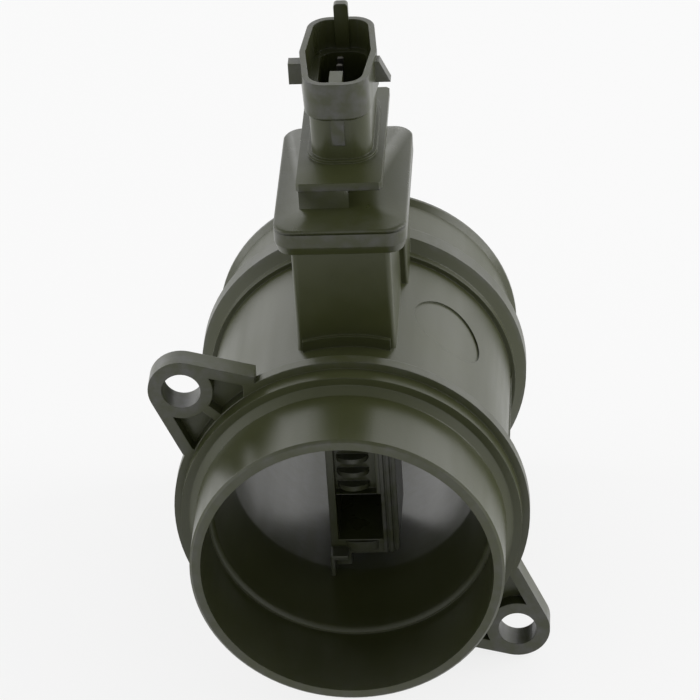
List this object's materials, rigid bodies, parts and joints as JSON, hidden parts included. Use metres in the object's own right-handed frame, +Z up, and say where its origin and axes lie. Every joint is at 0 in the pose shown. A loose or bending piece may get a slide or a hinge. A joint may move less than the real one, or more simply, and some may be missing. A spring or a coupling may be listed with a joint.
{
  "type": "mass airflow sensor",
  "caption": "Moulded flow tube with hose spigots, a two-ear mounting flange and a tower carrying a plug-in hot-film sensor module with a keyed socket",
  "frame": {"origin": "On the tube axis, in the plane of the mounting flange's front face (the annulus and the two ears).", "axes": "+Y runs along the tube with the flow, from the inlet spigot to the outlet spigot; +Z points up along the sensor tower; +X completes the right-handed frame, to the right when looking with the flow."},
  "size_m": [0.075, 0.0909, 0.1173],
  "materials": {
    "housing_plastic": "Near-black glass-filled PBT, finely grained, satin, with darker handled patches",
    "module_plastic": "Near-black glass-filled PBT, satin, slightly smoother than the tube",
    "cover_plastic": "Near-black glass-filled PBT, satin",
    "base_aluminium": "Rolled sheet, plain",
    "board_ceramic": "White alumina ceramic, matt, with printed tracks",
    "chip_epoxy": "Black moulding compound",
    "capacitor_body": "Tan ceramic",
    "sensor_silicon": "Polished silicon, dark blue-grey",
    "bead_coating": "Glass and epoxy coated bead on tinned leads",
    "seal_rubber": "Black silicone rubber",
    "terminal_metal": "Tin-plated brass, bright"
  },
  "bodies": {
    "root": {"tube_housing": "housing_plastic", "module_carrier": "module_plastic", "channel_cover": "cover_plastic", "electronics_cover": "cover_plastic", "connector_housing": "module_plastic", "base_plate": "base_aluminium", "circuit_board": "board_ceramic", "signal_chip": "chip_epoxy", "capacitor_1": "capacitor_body", "capacitor_2": "capacitor_body", "capacitor_3": "capacitor_body", "sensor_holder": "board_ceramic", "sensor_chip": "sensor_silicon", "temperature_sensor": "bead_coating", "module_seal": "seal_rubber", "terminal_1": "terminal_metal", "terminal_2": "terminal_metal", "terminal_3": "terminal_metal", "terminal_4": "terminal_metal"}
  },
  "joints": []
}
